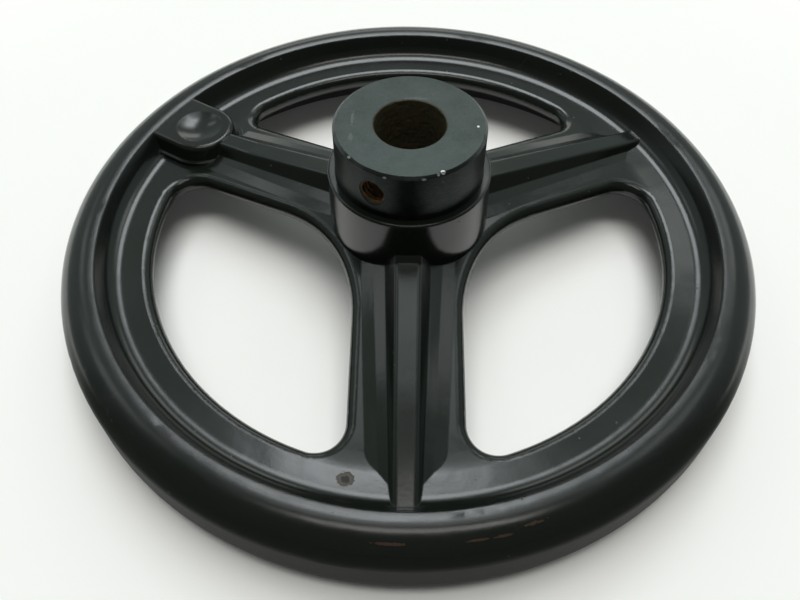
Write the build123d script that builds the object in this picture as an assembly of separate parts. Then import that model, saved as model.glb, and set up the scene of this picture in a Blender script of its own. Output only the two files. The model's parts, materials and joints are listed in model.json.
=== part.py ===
"""Machine handwheel: a one-piece moulded wheel with three dished spokes, and its steel hub bush.

Millimetres. The origin is on the shaft axis at the level of the rim's front face,
and +Z runs along the shaft towards the end of the bush.
"""
import os
from math import cos, radians, sin, tan

from build123d import *

# Rim
WHEEL_RADIUS = 80.0
RIM_HEIGHT = 20.0
RIM_ARC_RADIUS = 6.65
RIM_SHOULDER_ANGLE = 18.0     # where the rim's round section stops, from its crest inwards
RIM_SHOULDER_FILLET = 0.5
RIM_WALL_LEAN = 28.0          # lean of the rim's inner wall from the shaft direction
RIM_WALL_FOOT_FILLET = 4.0

# Web ring between the rim and the windows
WEB_THICKNESS = 4.5
WEB_BELOW_CREST = 5.2         # of the web's rear face below the rim's rear crest

# Dished spokes
SPOKE_COUNT = 3
SPOKE_AZIMUTHS = [-90.0 + 360.0 / SPOKE_COUNT * i for i in range(SPOKE_COUNT)]
SPOKE_HALF_WIDTH = 12.0
DISH_SLOPE = 0.154
DISH_BLEND_RADIUS = 25.0

# Windows between the spokes
WINDOW_INSIDE_RIM = 20.0      # from the wheel's outside to the window
WINDOW_OUTSIDE_HUB = 1.5      # least that is left between the hub and the window
WINDOW_RIM_CORNER = 6.0
WINDOW_EDGE_LAND = 0.1        # what is left flat between the two roundings of the window's edge

# Hub bush
BUSH_RADIUS = 16.0
BUSH_REAR_STAND_OUT = 11.8    # how far the bush stands out of the hub
BUSH_CHAMFER = 0.6
BORE_RADIUS = 7.5
BORE_CHAMFER = 0.25

# Hub
HUB_WALL = 1.8
HUB_ABOVE_CREST = 15.9
HUB_FRONT_STAND_OUT = 1.1     # below the dished spokes, with the bush's front end level
HUB_EDGE_ROUNDING = 0.5

# Set-screw hole in the bush, M6
SET_SCREW_TAP_RADIUS = 2.5
SET_SCREW_AZIMUTH = -118.3
SET_SCREW_BELOW_END = 6.0
SET_SCREW_COUNTERSINK = 0.65

# Rib on each spoke, from the hub to the rim; widths are each side of its middle
RIB_CROWN_HALF_WIDTH_AT_HUB = 2.5
RIB_CROWN_HALF_WIDTH_AT_RIM = 2.2
RIB_CROWN_ROUNDING = 1.2
RIB_CROWN_HEIGHT_AT_HUB = 11.2  # above the web
RIB_CROWN_HEIGHT_AT_RIM = 0.6
RIB_ROOT_FLARE = 1.2            # where the crown turns up the hub: each way from the hub's wall
RIB_ROOT_RISE = 2.4
RIB_FOOT_HALF_WIDTH_AT_HUB = 5.0
RIB_FOOT_HALF_WIDTH_AT_RIM = 3.1
RIB_FOOT_RISE_AT_HUB = 1.5      # above the dish
RIB_FOOT_RISE_AT_RIM = 0.5
RIB_FLANK_HALF_WIDTH_AT_HUB = 7.5
RIB_FLANK_HALF_WIDTH_AT_RIM = 4.9
RIB_FLANK_RISE_AT_HUB = 0.5     # above the dish
RIB_FLANK_RISE_AT_RIM = 0.2
RIB_SKIRT_INSIDE_SPOKE = 1.8    # from the spoke's side to the skirt's edge
RIB_SKIRT_DEPTH = 0.38          # of the skirt's edge below the dish

# Handle boss, on the last spoke
BOSS_OUTSIDE_WINDOW = 2.0       # of its axis
BOSS_TOP_RADIUS = 8.1
BOSS_DRAFT = 17.0
BOSS_BELOW_CREST = 0.35
BOSS_EDGE_ROUNDING = 1.3
BOSS_RIB_RUN = 17.0             # how far before its axis the rib starts to run more level
BOSS_RIB_DROP = 0.3             # of the rib's crown below the boss
PLINTH_MARGIN = 1.9             # round the boss's top
PLINTH_HEIGHT = 1.2
DIMPLE_OFFSET = 0.4             # from the boss's axis, outwards
DIMPLE_RADIUS = 5.75
DIMPLE_DEPTH = 1.2

# Tests that pick out faces and edges
TOUCHING = 0.001                # two things this close touch
ALONG_SHAFT = 0.9               # the least Z of the direction of an edge that runs along the shaft

# Derived sizes
WEB_REAR_Z = RIM_HEIGHT - WEB_BELOW_CREST
WEB_FRONT_Z = WEB_REAR_Z - WEB_THICKNESS
RIM_ARC_CENTRE_RADIUS = WHEEL_RADIUS - RIM_ARC_RADIUS
RIM_SHOULDER_RADIUS = RIM_ARC_CENTRE_RADIUS - RIM_ARC_RADIUS * sin(radians(RIM_SHOULDER_ANGLE))
WINDOW_RIM_RADIUS = WHEEL_RADIUS - WINDOW_INSIDE_RIM
WINDOW_EDGE_ROUNDING = (WEB_THICKNESS - WINDOW_EDGE_LAND) / 2
HUB_RADIUS = BUSH_RADIUS + HUB_WALL
HUB_REAR_Z = RIM_HEIGHT + HUB_ABOVE_CREST
HUB_FRONT_Z = WEB_FRONT_Z + DISH_SLOPE * (WINDOW_RIM_RADIUS - HUB_RADIUS) - HUB_FRONT_STAND_OUT
HUB_LENGTH = HUB_REAR_Z - HUB_FRONT_Z
BUSH_REAR_Z = HUB_REAR_Z + BUSH_REAR_STAND_OUT
BUSH_LENGTH = BUSH_REAR_Z - HUB_FRONT_Z
RIB_END_RADIUS = RIM_ARC_CENTRE_RADIUS - RIM_ARC_RADIUS / 2
RIB_SKIRT_HALF_WIDTH = SPOKE_HALF_WIDTH - RIB_SKIRT_INSIDE_SPOKE
BOSS_AXIS_RADIUS = WINDOW_RIM_RADIUS + BOSS_OUTSIDE_WINDOW
BOSS_TOP_Z = RIM_HEIGHT - BOSS_BELOW_CREST


def dish_rise(radius):
    """Height of the dished spokes above the web ring, which they leave at the windows' rim."""
    return DISH_SLOPE * (WINDOW_RIM_RADIUS - radius)


def rounded(face, points, radius):
    """The face with the corners nearest the given section points rounded."""
    corners = [face.vertices().sort_by_distance((r, 0, z))[0] for r, z in points]
    return fillet(corners, radius)


def wheel_blank():
    """Rim, web and dished disc as one body of revolution."""
    shoulder_above = RIM_ARC_RADIUS * cos(radians(RIM_SHOULDER_ANGLE))
    rear_arc_z = RIM_HEIGHT - RIM_ARC_RADIUS
    rear_shoulder = (RIM_SHOULDER_RADIUS, rear_arc_z + shoulder_above)
    front_shoulder = (RIM_SHOULDER_RADIUS, RIM_ARC_RADIUS - shoulder_above)

    def wall_foot(shoulder, level):
        return RIM_SHOULDER_RADIUS - abs(shoulder[1] - level) * tan(radians(RIM_WALL_LEAN)), level

    rear_foot = wall_foot(rear_shoulder, WEB_REAR_Z)
    front_foot = wall_foot(front_shoulder, WEB_FRONT_Z)
    rear_dish_start = (WINDOW_RIM_RADIUS, WEB_REAR_Z)
    front_dish_start = (WINDOW_RIM_RADIUS, WEB_FRONT_Z)
    rear_dish_end = (BUSH_RADIUS, WEB_REAR_Z + dish_rise(BUSH_RADIUS))
    front_dish_end = (BUSH_RADIUS, WEB_FRONT_Z + dish_rise(BUSH_RADIUS))
    diagonal = RIM_ARC_RADIUS * sin(radians(45.0))
    with BuildSketch(Plane.XZ) as section:
        with BuildLine():
            Polyline(rear_shoulder, rear_foot, rear_dish_start, rear_dish_end)
            Polyline(rear_dish_end, front_dish_end, front_dish_start, front_foot, front_shoulder)
            ThreePointArc(
                front_shoulder,
                (RIM_ARC_CENTRE_RADIUS + diagonal, RIM_ARC_RADIUS - diagonal),
                (WHEEL_RADIUS, RIM_ARC_RADIUS),
            )
            Line((WHEEL_RADIUS, RIM_ARC_RADIUS), (WHEEL_RADIUS, rear_arc_z))
            ThreePointArc(
                (WHEEL_RADIUS, rear_arc_z),
                (RIM_ARC_CENTRE_RADIUS + diagonal, rear_arc_z + diagonal),
                rear_shoulder,
            )
        make_face()
    face = section.sketch.faces()[0]
    face = rounded(face, [rear_shoulder, front_shoulder], RIM_SHOULDER_FILLET)
    face = rounded(face, [rear_foot, front_foot], RIM_WALL_FOOT_FILLET)
    face = rounded(face, [rear_dish_start, front_dish_start], DISH_BLEND_RADIUS)
    return Rot(0, 0, SPOKE_AZIMUTHS[0]) * revolve(face, Axis.Z)


def window_cutters():
    """The three windows, each bounded by two spokes' sides and the rim's web."""
    half_pitch = radians(180.0 / SPOKE_COUNT)
    apex_x = SPOKE_HALF_WIDTH / sin(half_pitch)
    hub_corner = (HUB_RADIUS + WINDOW_OUTSIDE_HUB - apex_x) / (1 / sin(half_pitch) - 1)
    reach = (WINDOW_RIM_RADIUS**2 - SPOKE_HALF_WIDTH**2) ** 0.5
    rim_x = reach * cos(half_pitch) + SPOKE_HALF_WIDTH * sin(half_pitch)
    rim_y = reach * sin(half_pitch) - SPOKE_HALF_WIDTH * cos(half_pitch)
    with BuildSketch() as window:
        with BuildLine():
            Polyline((rim_x, rim_y), (apex_x, 0), (rim_x, -rim_y))
            ThreePointArc((rim_x, -rim_y), (WINDOW_RIM_RADIUS, 0), (rim_x, rim_y))
        make_face()
        fillet(window.vertices().sort_by(Axis.X)[0], hub_corner)
        fillet(window.vertices().sort_by(Axis.X)[-2:], WINDOW_RIM_CORNER)
    cutter = extrude(window.sketch, HUB_REAR_Z)
    return [Rot(0, 0, azimuth + 180.0 / SPOKE_COUNT) * cutter for azimuth in SPOKE_AZIMUTHS]


def window_edges(plate, cutters):
    """The edges that the windows leave in the rear and the front of the plate."""
    walls = [
        face
        for face in plate.faces()
        if any(cutter.distance_to(face.position_at(0.5, 0.5)) < TOUCHING for cutter in cutters)
    ]
    edges = ShapeList(edge for wall in walls for edge in wall.edges())
    return edges.filter_by(lambda edge: abs((edge % 0.5).Z) < ALONG_SHAFT)


def hub():
    """The moulded hub, round the bush."""
    sleeve = Pos(0, 0, HUB_FRONT_Z + HUB_LENGTH / 2) * Cylinder(HUB_RADIUS, HUB_LENGTH)
    return fillet(sleeve.edges().filter_by(GeomType.CIRCLE), HUB_EDGE_ROUNDING)


def along_rib(at_hub, at_rim, radius):
    """A size of the rib at the given radius, which goes evenly from the hub to the rim."""
    return at_hub + (at_rim - at_hub) * (radius - HUB_RADIUS) / (RIB_END_RADIUS - HUB_RADIUS)


def crown_z(radius):
    """Level of a plain rib's crown."""
    return WEB_REAR_Z + along_rib(RIB_CROWN_HEIGHT_AT_HUB, RIB_CROWN_HEIGHT_AT_RIM, radius)


def rib_section(radius, top):
    """The rib's cross-section at one radius, with its crown at the given level."""
    level = WEB_REAR_Z + dish_rise(radius)
    crown = (along_rib(RIB_CROWN_HALF_WIDTH_AT_HUB, RIB_CROWN_HALF_WIDTH_AT_RIM, radius), top)
    foot = (
        along_rib(RIB_FOOT_HALF_WIDTH_AT_HUB, RIB_FOOT_HALF_WIDTH_AT_RIM, radius),
        level + along_rib(RIB_FOOT_RISE_AT_HUB, RIB_FOOT_RISE_AT_RIM, radius),
    )
    flank = (
        along_rib(RIB_FLANK_HALF_WIDTH_AT_HUB, RIB_FLANK_HALF_WIDTH_AT_RIM, radius),
        level + along_rib(RIB_FLANK_RISE_AT_HUB, RIB_FLANK_RISE_AT_RIM, radius),
    )
    skirt = (RIB_SKIRT_HALF_WIDTH, level - RIB_SKIRT_DEPTH)
    root = (RIB_SKIRT_HALF_WIDTH, level - WEB_THICKNESS / 2)
    half = [crown, foot, flank, skirt, root]
    other_half = [(-y, z) for y, z in reversed(half)]
    with BuildSketch(Plane(origin=(radius, 0, 0), x_dir=(0, 1, 0), z_dir=(1, 0, 0))) as section:
        with BuildLine():
            Polyline(*half, *other_half, close=True)
        make_face()
        fillet(section.vertices().sort_by(Axis.Y)[-2:], RIB_CROWN_ROUNDING)
    return section.sketch


def rib(stations):
    """A spoke's rib along +X, with its crown at each of the given (radius, level) stations."""
    return loft([rib_section(radius, top) for radius, top in stations], ruled=True)


def spoke_ribs():
    """The ribs, each in its place: the last one runs into the handle boss."""
    hub_start = (HUB_RADIUS**2 - SPOKE_HALF_WIDTH**2) ** 0.5
    flare_start = HUB_RADIUS - RIB_ROOT_FLARE
    flare_end = HUB_RADIUS + RIB_ROOT_FLARE
    flare_top = crown_z(flare_end) + RIB_ROOT_RISE
    root = [(hub_start, flare_top), (flare_start, flare_top), (flare_end, crown_z(flare_end))]
    plain = rib(root + [(RIB_END_RADIUS, crown_z(RIB_END_RADIUS))])
    knee_radius = BOSS_AXIS_RADIUS - BOSS_RIB_RUN
    knee = (knee_radius, crown_z(knee_radius))
    boss_end = (BOSS_AXIS_RADIUS - BOSS_TOP_RADIUS, BOSS_TOP_Z - BOSS_RIB_DROP)
    bossed = rib(root + [knee, boss_end])
    shapes = [plain] * (SPOKE_COUNT - 1) + [bossed]
    return [Rot(0, 0, azimuth) * shape for azimuth, shape in zip(SPOKE_AZIMUTHS, shapes)]


def stadium(radius, reach):
    """A disc on the boss's axis, widened straight outwards into the rim."""
    return Circle(radius) + Pos(reach / 2, 0) * Rectangle(reach, radius * 2)


def handle_boss():
    """The boss for a handle with its plinth, growing out of the rim, along +X."""
    root_z = WEB_REAR_Z - WEB_THICKNESS / 2
    height = BOSS_TOP_Z - root_z
    spread = height * tan(radians(BOSS_DRAFT))
    reach = RIM_ARC_CENTRE_RADIUS - BOSS_AXIS_RADIUS
    outline = stadium(BOSS_TOP_RADIUS + spread, reach + spread)
    boss = extrude(outline, height, taper=BOSS_DRAFT)
    top_edges = boss.edges().group_by(Axis.Z)[-1].sort_by(Axis.X)[:-1]
    boss = fillet(top_edges, BOSS_EDGE_ROUNDING)
    plinth_outline = stadium(BOSS_TOP_RADIUS + PLINTH_MARGIN, reach)
    plinth = extrude(plinth_outline, WEB_REAR_Z + PLINTH_HEIGHT - root_z)
    return Pos(BOSS_AXIS_RADIUS, 0, root_z) * (boss + plinth)


def dimple():
    """The ball that leaves the dished recess in the boss, along +X."""
    ball_radius = (DIMPLE_RADIUS**2 + DIMPLE_DEPTH**2) / (2 * DIMPLE_DEPTH)
    ball_place = Pos(BOSS_AXIS_RADIUS + DIMPLE_OFFSET, 0, BOSS_TOP_Z - DIMPLE_DEPTH + ball_radius)
    return ball_place * Sphere(ball_radius)


def wheel_body():
    """The whole moulding."""
    cutters = window_cutters()
    body = wheel_blank()
    for cutter in cutters:
        body -= cutter
    body = fillet(window_edges(body, cutters), WINDOW_EDGE_ROUNDING)
    body += hub()
    for spoke_rib in spoke_ribs():
        body += spoke_rib
    boss_place = Rot(0, 0, SPOKE_AZIMUTHS[-1])
    body += boss_place * handle_boss()
    body -= boss_place * dimple()
    return body - Pos(0, 0, HUB_FRONT_Z + HUB_LENGTH / 2) * Cylinder(BUSH_RADIUS, HUB_LENGTH)


def hub_bush():
    """The steel bush with its plain bore and its tapped set-screw hole."""
    middle_z = BUSH_REAR_Z - BUSH_LENGTH / 2
    bush = Pos(0, 0, middle_z) * Cylinder(BUSH_RADIUS, BUSH_LENGTH)
    bush = chamfer(bush.edges().filter_by(GeomType.CIRCLE), BUSH_CHAMFER)
    bush -= Pos(0, 0, middle_z) * Cylinder(BORE_RADIUS, BUSH_LENGTH)
    bore_rims = bush.edges().filter_by(GeomType.CIRCLE).sort_by(SortBy.RADIUS)[:2]
    bush = chamfer(bore_rims, BORE_CHAMFER)
    hole_z = BUSH_REAR_Z - SET_SCREW_BELOW_END
    from_axis = (Align.CENTER, Align.CENTER, Align.MIN)
    tapped = Cylinder(SET_SCREW_TAP_RADIUS, BUSH_RADIUS, align=from_axis)
    sink = Pos(0, 0, BUSH_RADIUS - SET_SCREW_COUNTERSINK) * Cone(
        SET_SCREW_TAP_RADIUS,
        SET_SCREW_TAP_RADIUS + SET_SCREW_COUNTERSINK,
        SET_SCREW_COUNTERSINK,
        align=from_axis,
    )
    return bush - Pos(0, 0, hole_z) * Rot(0, 0, SET_SCREW_AZIMUTH) * Rot(0, 90, 0) * (tapped + sink)


if __name__ == "__main__":
    os.makedirs("parts", exist_ok=True)
    export_step(wheel_body(), "parts/wheel_body.step")
    export_step(hub_bush(), "parts/hub_bush.step")
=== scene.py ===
"""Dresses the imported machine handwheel: moulded black wheel and blackened steel bush."""
import json
import math

import bpy
from mathutils import Matrix, Vector


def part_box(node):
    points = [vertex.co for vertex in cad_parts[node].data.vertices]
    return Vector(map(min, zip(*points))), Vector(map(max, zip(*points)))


bl_info = {
    "name": "Machine Handwheel",
    "version": (1, 1, 0),
    "blender": (4, 5, 0),
    "location": "3D View > Sidebar > Handwheel",
    "description": "Finishes a moulded machine handwheel and sets it on a pale stage",
    "category": "Object",
}

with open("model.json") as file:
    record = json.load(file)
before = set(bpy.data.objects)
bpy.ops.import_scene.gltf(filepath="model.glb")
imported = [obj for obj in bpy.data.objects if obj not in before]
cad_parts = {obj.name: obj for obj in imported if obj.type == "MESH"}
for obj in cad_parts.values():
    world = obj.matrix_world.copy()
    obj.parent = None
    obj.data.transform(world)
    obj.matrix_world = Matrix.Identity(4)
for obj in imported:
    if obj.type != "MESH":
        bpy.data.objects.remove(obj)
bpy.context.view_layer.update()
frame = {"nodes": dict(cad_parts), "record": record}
NODES = frame["nodes"]

MM = 0.001
BUSH_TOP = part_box("hub_bush")[1][2]
BUSH_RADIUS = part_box("hub_bush")[1][0]
RIM_TOP = 20 * MM
RIM_CREST_RADIUS = 72 * MM
BORE_RADIUS = frame["record"]["mounts"][0]["dims"]["r_mm"] * MM
TAP = frame["record"]["mounts"][1]
TAP_RADIUS = TAP["dims"]["r_mm"] * MM
TAP_AZIMUTH = math.atan2(TAP["axis"][1], TAP["axis"][0])
TAP_HEIGHT = TAP["pos_m"][2]
TAP_PITCH = 1.0 * MM


# Settings

def colour_setting(name, description, default):
    return bpy.props.FloatVectorProperty(
        name=name,
        description=description,
        default=default,
        subtype="COLOR",
        size=3,
        min=0.0,
        max=1.0,
    )


def share_setting(name, description, default):
    return bpy.props.FloatProperty(
        name=name, description=description, default=default, subtype="FACTOR", min=0.0, max=1.0
    )


class HandwheelFinish(bpy.types.PropertyGroup):
    """Colours and gloss of the handwheel's finishes."""

    moulding_colour: colour_setting(
        "Moulding Colour", "Base colour of the black moulding", (0.0056, 0.0080, 0.0058)
    )
    scuff_colour: colour_setting(
        "Scuff Colour",
        "Colour of the moulding where hands have dulled it",
        (0.0080, 0.0092, 0.0084),
    )
    polished_roughness: share_setting(
        "Polished Roughness", "Roughness of the moulding as it leaves the mould", 0.15
    )
    scuffed_roughness: share_setting(
        "Scuffed Roughness", "Roughness of the moulding where it is rubbed dull", 0.25
    )
    oxide_colour: colour_setting(
        "Oxide Colour", "Colour of the blackened steel", (0.043, 0.053, 0.049)
    )
    wall_oxide_colour: colour_setting(
        "Wall Oxide Colour",
        "Colour of the blackened steel round the bush's side",
        (0.022, 0.028, 0.024),
    )
    rubbed_steel_colour: colour_setting(
        "Rubbed Steel Colour",
        "Colour of the steel where the blackening is thin",
        (0.13, 0.145, 0.14),
    )
    bare_steel_colour: colour_setting(
        "Bare Steel Colour", "Colour of fresh nicks", (0.62, 0.64, 0.63)
    )
    steel_roughness: share_setting("Steel Roughness", "Roughness of the blackened steel", 0.40)
    dark_rust_colour: colour_setting(
        "Dark Rust Colour", "Colour of old rust", (0.060, 0.052, 0.026)
    )
    fresh_rust_colour: colour_setting(
        "Fresh Rust Colour",
        "Colour of fresh rust and of the brown streaks on the rim",
        (0.22, 0.075, 0.016),
    )
    floor_colour: colour_setting("Floor Colour", "Colour of the floor", (0.95, 0.94, 0.92))


class HandwheelStage(bpy.types.PropertyGroup):
    """Camera and floor."""

    camera_place: bpy.props.FloatVectorProperty(
        name="Camera Place",
        description="Where the camera stands",
        default=(-0.000723, -0.124773, 0.153154),
        subtype="TRANSLATION",
        unit="LENGTH",
        size=3,
        precision=6,
    )
    camera_yaw: bpy.props.FloatProperty(
        name="Camera Yaw",
        description="Turn of the camera to the right of straight ahead",
        default=math.radians(-0.516),
        subtype="ANGLE",
    )
    camera_pitch: bpy.props.FloatProperty(
        name="Camera Pitch",
        description="Tilt of the camera below the horizon",
        default=math.radians(52.968),
        subtype="ANGLE",
    )
    camera_roll: bpy.props.FloatProperty(
        name="Camera Roll",
        description="Roll of the camera about its line of sight",
        default=math.radians(0.350),
        subtype="ANGLE",
    )
    lens: bpy.props.FloatProperty(
        name="Lens",
        description="Focal length on a 36 mm sensor",
        default=35.1,
        unit="CAMERA",
        min=1.0,
    )
    floor_lift: bpy.props.FloatProperty(
        name="Floor Lift",
        description="Brightness added to the floor under the wheel for camera and reflections",
        default=0.02,
        min=0.0,
    )


# Node helpers

def feed(tree, socket, value):
    """Links a socket, or sets a plain value."""
    if isinstance(value, bpy.types.NodeSocket):
        tree.links.new(value, socket)
    else:
        socket.default_value = value


def add_node(tree, kind, inputs=None, **settings):
    node = tree.nodes.new(kind)
    for key, value in settings.items():
        setattr(node, key, value)
    for key, value in (inputs or {}).items():
        feed(tree, node.inputs[key], value)
    return node


def maths(tree, operation, *values):
    inputs = dict(enumerate(values))
    return add_node(tree, "ShaderNodeMath", inputs, operation=operation).outputs[0]


def chained(tree, operation, first, *others):
    """Takes any number of values one after the other."""
    for value in others:
        first = maths(tree, operation, first, value)
    return first


def total(tree, *values):
    return chained(tree, "ADD", *values)


def product(tree, *values):
    return chained(tree, "MULTIPLY", *values)


def largest(tree, *values):
    return chained(tree, "MAXIMUM", *values)


def vector_maths(tree, operation, *values):
    node = add_node(tree, "ShaderNodeVectorMath", dict(enumerate(values)), operation=operation)
    return node.outputs["Value" if operation == "LENGTH" else "Vector"]


def ramp(tree, value, low, high, bottom=0.0, top=1.0):
    """A smooth step from bottom to top as value goes from low to high."""
    inputs = {"Value": value, "From Min": low, "From Max": high, "To Min": bottom, "To Max": top}
    node = add_node(tree, "ShaderNodeMapRange", inputs, interpolation_type="SMOOTHSTEP")
    return node.outputs["Result"]


def blend(tree, share, first, second):
    """Mixes two colours."""
    node = add_node(tree, "ShaderNodeMix", data_type="RGBA")
    feed(tree, node.inputs["Factor"], share)
    feed(tree, node.inputs[6], first)
    feed(tree, node.inputs[7], second)
    return node.outputs[2]


def blend_values(tree, share, first, second):
    inputs = {"Factor": share, 2: first, 3: second}
    return add_node(tree, "ShaderNodeMix", inputs, data_type="FLOAT").outputs[0]


def opaque(colour):
    return (*colour, 1.0)


def apart(tree, vector):
    return add_node(tree, "ShaderNodeSeparateXYZ", {"Vector": vector}).outputs


def join(tree, x, y, z):
    return add_node(tree, "ShaderNodeCombineXYZ", {"X": x, "Y": y, "Z": z}).outputs["Vector"]


def off_axis(tree, x, y):
    """How far a place is from an axis, from its two coordinates across that axis."""
    return vector_maths(tree, "LENGTH", join(tree, x, y, 0.0))


def object_place(tree):
    return add_node(tree, "ShaderNodeTexCoord").outputs["Object"]


def turned(tree, place, turn, stretch):
    """The place turned and stretched, for a pattern that runs one way."""
    inputs = {"Vector": place, "Rotation": turn, "Scale": stretch}
    return add_node(tree, "ShaderNodeMapping", inputs).outputs["Vector"]


def new_material(name):
    material = bpy.data.materials.new(name)
    material.use_nodes = True
    return material, material.node_tree, material.node_tree.nodes["Principled BSDF"]


EDGE_SAMPLES = 4


def feed_relief(tree, shader, relief, height, edge_radius):
    """Rounds the sharp edges and adds the relief, to the given height in metres."""
    edges = add_node(tree, "ShaderNodeBevel", {"Radius": edge_radius}, samples=EDGE_SAMPLES)
    inputs = {"Height": relief, "Distance": height, "Normal": edges.outputs["Normal"]}
    bump = add_node(tree, "ShaderNodeBump", inputs)
    feed(tree, shader.inputs["Normal"], bump.outputs["Normal"])


# Effects that the finishes share

VALUE, VECTOR = "NodeSocketFloat", "NodeSocketVector"
# The noise values that become 0 and 1
PATCH_CONTRAST = (0.3, 0.7)
LINE_CONTRAST = (0.25, 0.75)
SCRATCH_BREAKS = (0.5, 0.62)
NOISE_MIDDLE = 0.5
# Radius of a full turn in the noise: a larger one breaks the circling lines more often
LINE_TURN_RADIUS = 14.0
# Where a speck starts to fade, as a share of its size
SPECK_CORE = 0.5
# Where a mark's edge starts and where it is full, as shares of its reach
MARK_EDGE = (1.1, 0.8)


def new_effect(name, inputs, output):
    """An empty group with its inputs, and one value for its output."""
    group = bpy.data.node_groups.new(name, "ShaderNodeTree")
    for label, kind in inputs:
        group.interface.new_socket(label, in_out="INPUT", socket_type=kind)
    group.interface.new_socket(output, in_out="OUTPUT", socket_type=VALUE)
    return group, group.nodes.new("NodeGroupInput").outputs


def close_effect(group, value):
    group.links.new(value, group.nodes.new("NodeGroupOutput").inputs[0])
    return group


def noise(tree, **inputs):
    """A noise texture's value, from 0 to 1."""
    inputs = {label.title(): value for label, value in inputs.items()}
    return add_node(tree, "ShaderNodeTexNoise", inputs).outputs["Fac"]


def build_patches(name):
    """Cloudy patches from 0 to 1, of the given size in metres."""
    sockets = [("Place", VECTOR), ("Size", VALUE), ("Detail", VALUE)]
    tree, given = new_effect(name, sockets, "Amount")
    scale = maths(tree, "DIVIDE", 1.0, given["Size"])
    cloudy = noise(
        tree, vector=given["Place"], scale=scale, detail=given["Detail"], roughness=0.55
    )
    return close_effect(tree, ramp(tree, cloudy, *PATCH_CONTRAST))


def build_circling_lines(name):
    """Fine lines that run round the shaft axis, of the given width in metres."""
    sockets = [("Place", VECTOR), ("Line Width", VALUE)]
    tree, given = new_effect(name, sockets, "Amount")
    x, y, z = apart(tree, given["Place"])
    round_about = vector_maths(tree, "NORMALIZE", join(tree, x, y, 0.0))
    along = vector_maths(tree, "MULTIPLY", round_about, (LINE_TURN_RADIUS,) * 3)
    outwards_and_up = total(tree, off_axis(tree, x, y), z)
    across = maths(tree, "DIVIDE", outwards_and_up, given["Line Width"])
    place = vector_maths(tree, "ADD", along, join(tree, 0.0, 0.0, across))
    lines = noise(tree, vector=place, scale=1.0, detail=2.0, roughness=0.6)
    return close_effect(tree, ramp(tree, lines, *LINE_CONTRAST))


def build_specks(name):
    """Small scattered specks: spacing and size in metres, and the share of places with one."""
    sockets = [("Place", VECTOR), ("Spacing", VALUE), ("Size", VALUE), ("Share", VALUE)]
    tree, given = new_effect(name, sockets, "Mask")
    scale = maths(tree, "DIVIDE", 1.0, given["Spacing"])
    cells = add_node(tree, "ShaderNodeTexVoronoi", {"Vector": given["Place"], "Scale": scale})
    reach = maths(tree, "DIVIDE", given["Size"], given["Spacing"])
    near = ramp(tree, cells.outputs["Distance"], reach, product(tree, reach, SPECK_CORE))
    chance = apart(tree, cells.outputs["Color"])[0]
    chosen = maths(tree, "LESS_THAN", chance, given["Share"])
    return close_effect(tree, product(tree, near, chosen))


def build_mark(name):
    """A ragged mark round one place, with its reach in metres along each axis."""
    sockets = [("Place", VECTOR), ("Middle", VECTOR), ("Reach", VECTOR), ("Ragged", VALUE)]
    tree, given = new_effect(name, sockets, "Mask")
    away = vector_maths(tree, "SUBTRACT", given["Place"], given["Middle"])
    scaled = vector_maths(tree, "DIVIDE", away, given["Reach"])
    distance = vector_maths(tree, "LENGTH", scaled)
    wander = noise(tree, vector=given["Place"], scale=2200.0, detail=3.0)
    shift = product(tree, maths(tree, "SUBTRACT", wander, NOISE_MIDDLE), given["Ragged"])
    return close_effect(tree, ramp(tree, total(tree, distance, shift), *MARK_EDGE))


def build_hairlines(name):
    """Long fine scratches that wander over a surface, with their spacing and width in metres."""
    sockets = [("Place", VECTOR), ("Spacing", VALUE), ("Width", VALUE)]
    tree, given = new_effect(name, sockets, "Mask")
    scale = maths(tree, "DIVIDE", 1.0, given["Spacing"])
    wander = noise(tree, vector=given["Place"], scale=scale, detail=0.0)
    off_line = maths(tree, "ABSOLUTE", maths(tree, "SUBTRACT", wander, NOISE_MIDDLE))
    reach = maths(tree, "DIVIDE", given["Width"], given["Spacing"])
    line = ramp(tree, off_line, reach, 0.0)
    broken = ramp(tree, noise(tree, vector=given["Place"], scale=260.0), *SCRATCH_BREAKS)
    return close_effect(tree, product(tree, line, broken))


EFFECTS = {
    "patches": build_patches,
    "circling_lines": build_circling_lines,
    "specks": build_specks,
    "mark": build_mark,
    "hairlines": build_hairlines,
}


def use_effect(tree, name, **inputs):
    """Places a shared effect, which is built when a finish first uses it."""
    group = bpy.data.node_groups.get(name) or EFFECTS[name](name)
    node = add_node(tree, "ShaderNodeGroup", node_tree=group)
    for label, value in inputs.items():
        feed(tree, node.inputs[label.replace("_", " ").title()], value)
    return node.outputs[0]


def placed_marks(tree, place, marks, ragged):
    """Marks at several places, each given by its middle and its reach."""
    return largest(
        tree,
        *(
            use_effect(tree, "mark", place=place, middle=middle, reach=reach, ragged=ragged)
            for middle, reach in marks
        ),
    )


# Moulding

# Sizes of the moulding's patterns
MOULDING_CLOUDS = 16 * MM
MOULDING_GRAIN = 1.1 * MM
MOULDING_SWELL = 6.5 * MM
RUBBED_LINE_WIDTH = 0.5 * MM
DUST_SPECKS = {"spacing": 2.6 * MM, "size": 0.30 * MM, "share": 0.10}
SCRATCHES = {"spacing": 30 * MM, "width": 0.13 * MM}
SCRATCH_TURN, SCRATCH_STRETCH = (0.2, 0.1, 0.7), (1, 3.2, 1)
# Where hands rub the rim, and how much of it shows as dulling
CREST_DEPTH = 3 * MM
HANDLED_WIDTH = 14 * MM
HANDLED_BELOW_CREST = 0.45
RUBBED_LINES_SHARE = 0.6
WEAR_DULLING = 0.8
CLOUD_DULLING = 0.30
# Specks and scratches
DUST_COLOUR = (0.16, 0.17, 0.165)
SPECK_STRENGTH = 0.22
SCRATCH_STRENGTH = 0.06
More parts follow.
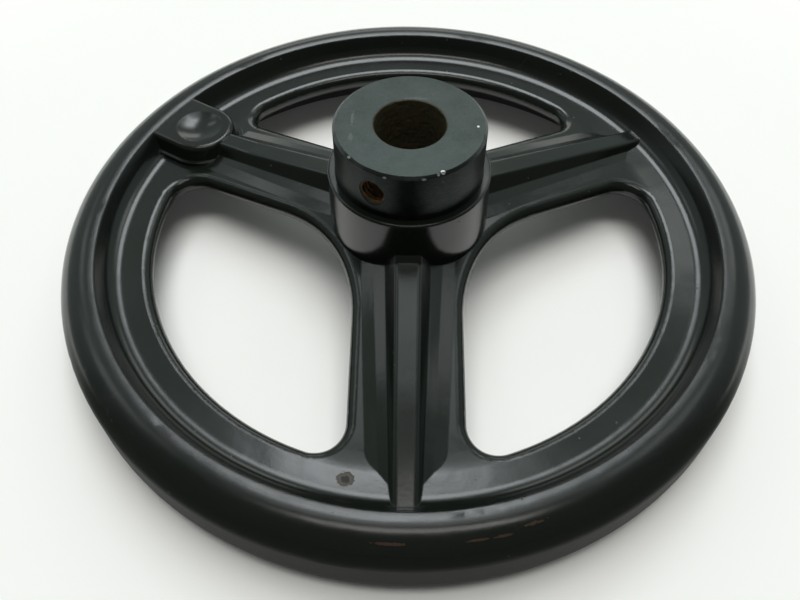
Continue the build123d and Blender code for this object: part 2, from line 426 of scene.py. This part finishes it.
# Middle and reach of the ringed mark on the web, in metres, and its core as a share of it
WEB_MARK = ((-0.0114, -0.0631, 0.0148), (0.0016, 0.0014, 0.0010))
WEB_MARK_CORE = 0.55
WEB_MARK_COLOUR = (0.085, 0.066, 0.052)
WEB_MARK_STRENGTH = 0.8
WEB_MARK_RAGGED, WEB_MARK_CORE_RAGGED = 0.9, 1.6
# Azimuth, radius and height of each brown streak on the rim, and its reach along each,
# in degrees and millimetres
RIM_STREAKS = (
    ((-91.9, 76.8, 18.9), (2.4, 0.5, 0.18)),
    ((-80.4, 77.0, 18.9), (1.5, 0.5, 0.14)),
    ((-77.0, 77.2, 18.9), (1.5, 0.5, 0.18)),
    ((-72.3, 76.0, 19.2), (2.6, 0.5, 0.22)),
)
STREAK_STRENGTH = 0.15
STREAK_RAGGED = 1.6
MARKED_ROUGHNESS = 0.6
# Relief: the bump's full height, and each pattern's share of it
MOULDING_RELIEF = 0.03 * MM
SWELL_RELIEF = 0.7
GRAIN_RELIEF = 0.10
RUBBED_LINE_RELIEF = 0.03
WEB_MARK_RELIEF = -1.5
MOULDING_EDGE_RADIUS = 0.4 * MM


def finish_moulding(settings):
    material, tree, shader = new_material("moulded_black")
    place = object_place(tree)
    x, y, z = apart(tree, place)
    outwards = off_axis(tree, x, y)

    clouds = use_effect(tree, "patches", place=place, size=MOULDING_CLOUDS, detail=3.0)
    grain = use_effect(tree, "patches", place=place, size=MOULDING_GRAIN, detail=3.0)
    swell = use_effect(tree, "patches", place=place, size=MOULDING_SWELL, detail=0.0)
    rubbing = use_effect(tree, "circling_lines", place=place, line_width=RUBBED_LINE_WIDTH)
    on_crest = ramp(tree, z, RIM_TOP - CREST_DEPTH, RIM_TOP)
    near_rim = ramp(tree, outwards, RIM_CREST_RADIUS - HANDLED_WIDTH, RIM_CREST_RADIUS)
    more_on_crest = product(tree, on_crest, 1.0 - HANDLED_BELOW_CREST)
    handled = product(tree, near_rim, total(tree, HANDLED_BELOW_CREST, more_on_crest))
    worn = product(tree, handled, blend_values(tree, RUBBED_LINES_SHARE, 1.0, rubbing))
    dulled = total(
        tree, product(tree, clouds, CLOUD_DULLING), product(tree, worn, WEAR_DULLING)
    )
    dulled = maths(tree, "MINIMUM", 1.0, dulled)

    specks = use_effect(tree, "specks", place=place, **DUST_SPECKS)
    along_scratches = turned(tree, place, SCRATCH_TURN, SCRATCH_STRETCH)
    scratches = use_effect(tree, "hairlines", place=along_scratches, **SCRATCHES)
    middle, reach = WEB_MARK
    web_mark = use_effect(
        tree, "mark", place=place, middle=middle, reach=reach, ragged=WEB_MARK_RAGGED
    )
    core_reach = Vector(reach) * WEB_MARK_CORE
    web_mark_core = use_effect(
        tree, "mark", place=place, middle=middle, reach=core_reach, ragged=WEB_MARK_CORE_RAGGED
    )
    web_mark_ring = maths(tree, "SUBTRACT", web_mark, web_mark_core)
    azimuth = maths(tree, "DEGREES", maths(tree, "ARCTAN2", y, x))
    rim_place = join(tree, product(tree, azimuth, MM), outwards, z)
    streak_places = [[Vector(values) * MM for values in streak] for streak in RIM_STREAKS]
    streaks = placed_marks(tree, rim_place, streak_places, STREAK_RAGGED)

    colour = blend(tree, dulled, opaque(settings.moulding_colour), opaque(settings.scuff_colour))
    dust = largest(
        tree, product(tree, specks, SPECK_STRENGTH), product(tree, scratches, SCRATCH_STRENGTH)
    )
    for share, other in (
        (dust, DUST_COLOUR),
        (product(tree, web_mark_ring, WEB_MARK_STRENGTH), WEB_MARK_COLOUR),
        (product(tree, streaks, STREAK_STRENGTH), settings.fresh_rust_colour),
    ):
        colour = blend(tree, share, colour, opaque(other))
    feed(tree, shader.inputs["Base Color"], colour)

    roughness = blend_values(
        tree, dulled, settings.polished_roughness, settings.scuffed_roughness
    )
    marked = largest(tree, web_mark, streaks, specks)
    roughness = blend_values(tree, marked, roughness, MARKED_ROUGHNESS)
    feed(tree, shader.inputs["Roughness"], roughness)
    shader.inputs["IOR"].default_value = 1.55

    relief = total(
        tree,
        product(tree, swell, SWELL_RELIEF),
        product(tree, grain, GRAIN_RELIEF),
        product(tree, rubbing, handled, RUBBED_LINE_RELIEF),
        product(tree, web_mark, WEB_MARK_RELIEF),
    )
    feed_relief(tree, shader, relief, MOULDING_RELIEF, MOULDING_EDGE_RADIUS)
    return material


# Steel bush

# Middle and reach of each nick in the end's edge, in metres
EDGE_NICKS = (
    ((0.0065, -0.0140, 0.0477), (0.00055, 0.00045, 0.0006)),
    ((0.0056, -0.0146, 0.0476), (0.00030, 0.00030, 0.0005)),
    ((0.0139, -0.0007, 0.0477), (0.00030, 0.00030, 0.0003)),
    ((-0.0050, -0.0153, 0.0472), (0.00060, 0.00025, 0.0004)),
    ((0.0028, -0.0157, 0.0472), (0.00045, 0.00022, 0.0003)),
    ((-0.0120, -0.0100, 0.0475), (0.00045, 0.00030, 0.0003)),
)
NICK_RAGGED = 1.4
# Middle and reach of each pale scuff on the end face, in metres
FACE_SCUFFS = (
    ((-0.0119, 0.0013, 0.0477), (0.0003, 0.0024, 0.0003)),
    ((-0.0120, -0.0045, 0.0477), (0.0005, 0.0012, 0.0003)),
    ((0.0012, 0.0079, 0.0477), (0.0030, 0.00045, 0.0003)),
)
SCUFF_RAGGED = 2.4
# Sizes of the steel's patterns
TURNED_LINE_WIDTH = 0.22 * MM
STEEL_CLOUDS = 6 * MM
STEEL_GRAIN = 0.6 * MM
RUST_SPOTS = 1.3 * MM
STEEL_SCRATCHES = {"spacing": 12 * MM, "width": 0.08 * MM}
STEEL_SCRATCH_TURN, STEEL_SCRATCH_STRETCH = (0, 0, 0.5), (1, 3.5, 1)
# How thin each pattern leaves the blackening
CLOUD_THINNING = 0.22
TURNING_THINNING = 0.16
SCRATCH_THINNING = 0.55
SCUFF_THINNING = 0.55
# Where the end's edge starts to wear and where it is worn through: in from the side and
# down from the end
EDGE_WEAR_INWARDS = (1.1 * MM, 0.4 * MM)
EDGE_WEAR_DOWN = (1.2 * MM, 0.5 * MM)
EDGE_WEAR_CLOUDS = (0.0, 0.9)
EDGE_WEAR_LEAST, EDGE_WEAR_MOST = 0.25, 0.8
# Where the end face's colour takes over from the side's, down from the end
FACE_FADE = (0.7 * MM, 0.2 * MM)
# Where the rust starts and where it is full, outwards from the bore's and the tapping's walls
BORE_RUST_REACH = (0.30 * MM, 0.05 * MM)
TAP_RUST_REACH = (0.5 * MM, 0.1 * MM)
TAP_FRESH_RUST = (0.35, 0.8)
BORE_FRESH_RUST = (0.6, 1.0)
BORE_FRESH_RUST_MOST = 0.10
RUST_ROUGHNESS = 0.85
CLOUD_ROUGHENING = 0.08
# Relief: the bump's full height, and each pattern's share of it
STEEL_RELIEF = 0.3 * MM
TURNING_RELIEF = 0.010
STEEL_GRAIN_RELIEF = 0.020
THREAD_RELIEF = 0.8
RUST_RELIEF = 0.5
NICK_RELIEF = -0.4
STEEL_EDGE_RADIUS = 0.25 * MM


def ramp_from(tree, value, limit, reach, side=-1):
    """A smooth step whose two ends lie inside (-1) or outside (1) a limit."""
    return ramp(tree, value, limit + side * reach[0], limit + side * reach[1])


def finish_steel(settings):
    material, tree, shader = new_material("bush_steel")
    place = object_place(tree)
    x, y, z = apart(tree, place)
    outwards = off_axis(tree, x, y)

    turning = use_effect(tree, "circling_lines", place=place, line_width=TURNED_LINE_WIDTH)
    clouds = use_effect(tree, "patches", place=place, size=STEEL_CLOUDS, detail=3.0)
    grain = use_effect(tree, "patches", place=place, size=STEEL_GRAIN, detail=3.0)
    rust_spots = use_effect(tree, "patches", place=place, size=RUST_SPOTS, detail=3.0)
    along_scratches = turned(tree, place, STEEL_SCRATCH_TURN, STEEL_SCRATCH_STRETCH)
    scratches = use_effect(tree, "hairlines", place=along_scratches, **STEEL_SCRATCHES)
    end_edge = product(
        tree,
        ramp_from(tree, outwards, BUSH_RADIUS, EDGE_WEAR_INWARDS),
        ramp_from(tree, z, BUSH_TOP, EDGE_WEAR_DOWN),
    )
    edge_clouds = ramp(tree, clouds, *EDGE_WEAR_CLOUDS, EDGE_WEAR_LEAST, EDGE_WEAR_MOST)
    scuffs = placed_marks(tree, place, FACE_SCUFFS, SCUFF_RAGGED)
    thin = largest(
        tree,
        total(
            tree, product(tree, clouds, CLOUD_THINNING), product(tree, turning, TURNING_THINNING)
        ),
        product(tree, scratches, SCRATCH_THINNING),
        product(tree, end_edge, edge_clouds),
        product(tree, scuffs, SCUFF_THINNING),
    )
    nicks = placed_marks(tree, place, EDGE_NICKS, NICK_RAGGED)

    in_bore = ramp_from(tree, outwards, BORE_RADIUS, BORE_RUST_REACH, 1)
    level = join(tree, x, y, maths(tree, "SUBTRACT", z, TAP_HEIGHT))
    tap_place = turned(tree, level, (0, 0, -TAP_AZIMUTH), (1, 1, 1))
    along_tap, beside_tap, above_tap = apart(tree, tap_place)
    off_tap = off_axis(tree, beside_tap, above_tap)
    in_tap = product(
        tree,
        ramp_from(tree, off_tap, TAP_RADIUS, TAP_RUST_REACH, 1),
        maths(tree, "GREATER_THAN", along_tap, 0.0),
    )
    rust = largest(tree, in_bore, in_tap)
    tap_spots = ramp(tree, rust_spots, *TAP_FRESH_RUST)
    bore_spots = ramp(tree, rust_spots, *BORE_FRESH_RUST, 0.0, BORE_FRESH_RUST_MOST)
    fresh = largest(tree, product(tree, in_tap, tap_spots), product(tree, in_bore, bore_spots))

    face = ramp_from(tree, z, BUSH_TOP, FACE_FADE)
    colour = opaque(settings.wall_oxide_colour)
    for share, other in (
        (face, settings.oxide_colour),
        (thin, settings.rubbed_steel_colour),
        (nicks, settings.bare_steel_colour),
    ):
        colour = blend(tree, share, colour, opaque(other))
    rust_colour = blend(
        tree, fresh, opaque(settings.dark_rust_colour), opaque(settings.fresh_rust_colour)
    )
    feed(tree, shader.inputs["Base Color"], blend(tree, rust, colour, rust_colour))
    feed(tree, shader.inputs["Metallic"], maths(tree, "SUBTRACT", 1.0, rust))
    roughness = total(tree, settings.steel_roughness, product(tree, clouds, CLOUD_ROUGHENING))
    roughness = blend_values(tree, rust, roughness, RUST_ROUGHNESS)
    feed(tree, shader.inputs["Roughness"], roughness)

    thread = maths(tree, "SINE", product(tree, along_tap, 2 * math.pi / TAP_PITCH))
    relief = total(
        tree,
        product(tree, turning, TURNING_RELIEF),
        product(tree, grain, STEEL_GRAIN_RELIEF),
        product(tree, thread, in_tap, THREAD_RELIEF),
        product(tree, rust_spots, rust, RUST_RELIEF),
        product(tree, nicks, NICK_RELIEF),
    )
    feed_relief(tree, shader, relief, STEEL_RELIEF, STEEL_EDGE_RADIUS)
    return material


def dress(node, material):
    mesh = NODES[node].data
    mesh.materials.clear()
    mesh.materials.append(material)


class HANDWHEEL_OT_moulding(bpy.types.Operator):
    """Finish the black moulding"""

    bl_idname = "handwheel.moulding"
    bl_label = "Moulding"

    def execute(self, context):
        dress("wheel_body", finish_moulding(context.scene.handwheel_finish))
        return {"FINISHED"}


class HANDWHEEL_OT_bush(bpy.types.Operator):
    """Finish the steel hub bush"""

    bl_idname = "handwheel.bush"
    bl_label = "Hub Bush"

    def execute(self, context):
        dress("hub_bush", finish_steel(context.scene.handwheel_finish))
        return {"FINISHED"}


# Stage

LAMP_DISTANCE = 1.6
# Of each lamp: elevation from the far horizon over the top, part of the direction to the right,
# width and depth as seen from the wheel (degrees), brightness where 1 is white, and colour
LAMPS = {
    "lamp_far": (55, 0.0, 15.5, 12, 5.8, (0.92, 0.97, 1.0)),
    "lamp_horizon": (21, 0.0, 34, 14, 1.2, (1.0, 0.99, 0.95)),
    "lamp_far_low": (45.5, 0.0, 14, 7, 1.6, (0.95, 1.0, 0.99)),
    "lamp_far_glow": (65.5, -0.035, 16, 8, 6.2, (0.92, 0.96, 1.0)),
    "lamp_far_side": (67, 0.02, 20, 6, 0.8, (0.93, 1.0, 0.99)),
    "lamp_middle": (77, 0.0, 26, 14, 1.1, (0.93, 1.0, 0.98)),
    "lamp_over": (98.5, 0.03, 34, 11, 3.3, (1.0, 0.99, 0.95)),
    "lamp_right": (71, 0.45, 16, 14, 0.9, (0.96, 1.0, 0.99)),
    "lamp_right_low": (48, 0.38, 16, 8, 1.8, (0.96, 1.0, 0.97)),
    "lamp_left": (70, -0.60, 14, 12, 1.0, (0.96, 1.0, 0.99)),
    "lamp_left_low": (50, -0.50, 10, 7, 1.2, (0.93, 1.0, 0.97)),
}
# Reflections leave this lamp out
FILL_LAMP = (90, 0.0, 36, 34, 3.8, (1.0, 1.0, 0.99))
# What surrounds the stage, and the parts of the direction ahead between which it changes
FAR_GREY = (0.34, 0.40, 0.38)
NEAR_GREY = (0.075, 0.080, 0.072)
GREY_FADE = (-0.15, 0.45)
FLOOR_SIZE = 12.0
# Distances from the shaft between which the floor's lift grows to 1
FLOOR_LIFT_REACH = (0.12, 0.60)
# Painted shade: in reflections the floor in front of the wheel is painted dark, though it is as
# pale as the rest: how far forward the painted shade grows, where it starts, and the distances
# between which it goes from its painted shade grey at the rim to the near grey
FRONT_FLOOR_GROWTH = -50 * MM
UNDER_RIM_RADIUS = 70 * MM
# Painted shade grey on the floor next to the rim, seen only in reflections
RIM_PAINTED_SHADE_GREY = (0.30, 0.30, 0.29)
FRONT_FLOOR_FADE = (80 * MM, 96 * MM)


def place_camera(scene, settings):
    yaw, pitch, roll = settings.camera_yaw, settings.camera_pitch, settings.camera_roll
    level = math.cos(pitch)
    ahead = Vector((math.sin(yaw) * level, math.cos(yaw) * level, -math.sin(pitch)))
    right = Vector((math.cos(yaw), -math.sin(yaw), 0))
    above = right.cross(ahead)
    turned_right = right * math.cos(roll) + above * math.sin(roll)
    turned_above = above * math.cos(roll) - right * math.sin(roll)
    data = bpy.data.cameras.new("camera")
    data.sensor_width = 36.0
    data.lens = settings.lens
    data.clip_start = 0.005
    data.clip_end = 20.0
    camera = bpy.data.objects.new("camera", data)
    scene.collection.objects.link(camera)
    turn = Matrix((turned_right, turned_above, -ahead)).transposed()
    camera.matrix_world = Matrix.Translation(settings.camera_place) @ turn.to_4x4()
    scene.camera = camera


def add_lamp(scene, name, elevation, aside, wide, deep, brightness, colour):
    """A rectangular lamp that faces the wheel."""
    rise = math.radians(elevation)
    lean = math.sqrt(1 - aside * aside)
    towards = Vector((aside, math.cos(rise) * lean, math.sin(rise) * lean))
    across = (Vector((1, 0, 0)) - towards * aside).normalized()
    data = bpy.data.lights.new(name, "AREA")
    data.shape = "RECTANGLE"
    data.size = 2 * LAMP_DISTANCE * math.tan(math.radians(wide) / 2)
    data.size_y = 2 * LAMP_DISTANCE * math.tan(math.radians(deep) / 2)
    data.energy = brightness * math.pi * data.size * data.size_y
    data.color = colour
    lamp = bpy.data.objects.new(name, data)
    scene.collection.objects.link(lamp)
    turn = Matrix((across, towards.cross(across), towards)).transposed()
    lamp.matrix_world = Matrix.Translation(towards * LAMP_DISTANCE) @ turn.to_4x4()
    return lamp


def build_floor(finish, stage):
    bpy.ops.object.select_all(action="DESELECT")
    bpy.ops.mesh.primitive_plane_add(size=FLOOR_SIZE, location=(0, 0, 0))
    floor = bpy.context.object
    floor.name = "stage_floor"
    material, tree, shader = new_material("stage_floor")
    shader.inputs["Roughness"].default_value = 0.9
    shader.inputs["Specular IOR Level"].default_value = 0.1
    path = add_node(tree, "ShaderNodeLightPath").outputs
    x, y = apart(tree, object_place(tree))[:2]
    outwards = off_axis(tree, x, y)
    near_rim = ramp(tree, outwards, *FRONT_FLOOR_FADE)
    # Painted shade: the floor seen in reflections is painted dark in front of the wheel, from
    # the painted shade grey at the rim to the near grey
    painted_shade_colour = blend(tree, near_rim, opaque(RIM_PAINTED_SHADE_GREY), opaque(NEAR_GREY))
    painted_shade_in_front = product(
        tree,
        ramp(tree, y, 0.0, FRONT_FLOOR_GROWTH),
        path["Is Glossy Ray"],
        maths(tree, "GREATER_THAN", outwards, UNDER_RIM_RADIUS),
    )
    colour = blend(tree, painted_shade_in_front, opaque(finish.floor_colour), painted_shade_colour)
    feed(tree, shader.inputs["Base Color"], colour)
    seen = largest(tree, path["Is Camera Ray"], path["Is Glossy Ray"])
    # The floor's lift is left out where the painted shade is
    seen = maths(tree, "SUBTRACT", seen, painted_shade_in_front)
    lift = ramp(tree, outwards, *FLOOR_LIFT_REACH, stage.floor_lift, 1.0)
    shader.inputs["Emission Color"].default_value = opaque((1, 1, 1))
    feed(tree, shader.inputs["Emission Strength"], product(tree, lift, seen))
    floor.data.materials.append(material)


def build_world(scene):
    """Mid grey on the far side, dark behind the camera, white where the camera sees it."""
    world = bpy.data.worlds.new("studio")
    scene.world = world
    world.use_nodes = True
    tree = world.node_tree
    ahead = apart(tree, add_node(tree, "ShaderNodeTexCoord").outputs["Generated"])[1]
    grey = blend(tree, ramp(tree, ahead, *GREY_FADE), opaque(NEAR_GREY), opaque(FAR_GREY))
    camera_ray = add_node(tree, "ShaderNodeLightPath").outputs["Is Camera Ray"]
    colour = blend(tree, camera_ray, grey, opaque((1, 1, 1)))
    feed(tree, tree.nodes["Background"].inputs["Color"], colour)


class HANDWHEEL_OT_stage(bpy.types.Operator):
    """Set up the pale floor, the lamps and the camera"""

    bl_idname = "handwheel.stage"
    bl_label = "Stage"

    def execute(self, context):
        scene = context.scene
        place_camera(scene, scene.handwheel_stage)
        build_floor(scene.handwheel_finish, scene.handwheel_stage)
        for name, values in LAMPS.items():
            add_lamp(scene, name, *values)
        add_lamp(scene, "lamp_fill", *FILL_LAMP).visible_glossy = False
        build_world(scene)
        scene.view_settings.view_transform = "Standard"
        return {"FINISHED"}


class HANDWHEEL_PT_panel(bpy.types.Panel):
    bl_label = "Handwheel"
    bl_idname = "HANDWHEEL_PT_panel"
    bl_space_type = "VIEW_3D"
    bl_region_type = "UI"
    bl_category = "Handwheel"

    def draw(self, context):
        for settings in (context.scene.handwheel_finish, context.scene.handwheel_stage):
            for name in settings.bl_rna.properties.keys():
                if name not in {"rna_type", "name"}:
                    self.layout.prop(settings, name)
        for operator in OPERATORS:
            self.layout.operator(operator.bl_idname)


OPERATORS = (HANDWHEEL_OT_moulding, HANDWHEEL_OT_bush, HANDWHEEL_OT_stage)
CLASSES = (HandwheelFinish, HandwheelStage, *OPERATORS, HANDWHEEL_PT_panel)


def register():
    for item in CLASSES:
        bpy.utils.register_class(item)
    bpy.types.Scene.handwheel_finish = bpy.props.PointerProperty(type=HandwheelFinish)
    bpy.types.Scene.handwheel_stage = bpy.props.PointerProperty(type=HandwheelStage)


def unregister():
    del bpy.types.Scene.handwheel_stage
    del bpy.types.Scene.handwheel_finish
    for item in reversed(CLASSES):
        bpy.utils.unregister_class(item)


def main():
    register()
    bpy.ops.handwheel.moulding()
    bpy.ops.handwheel.bush()
    bpy.ops.handwheel.stage()


if __name__ == "__main__":
    main()
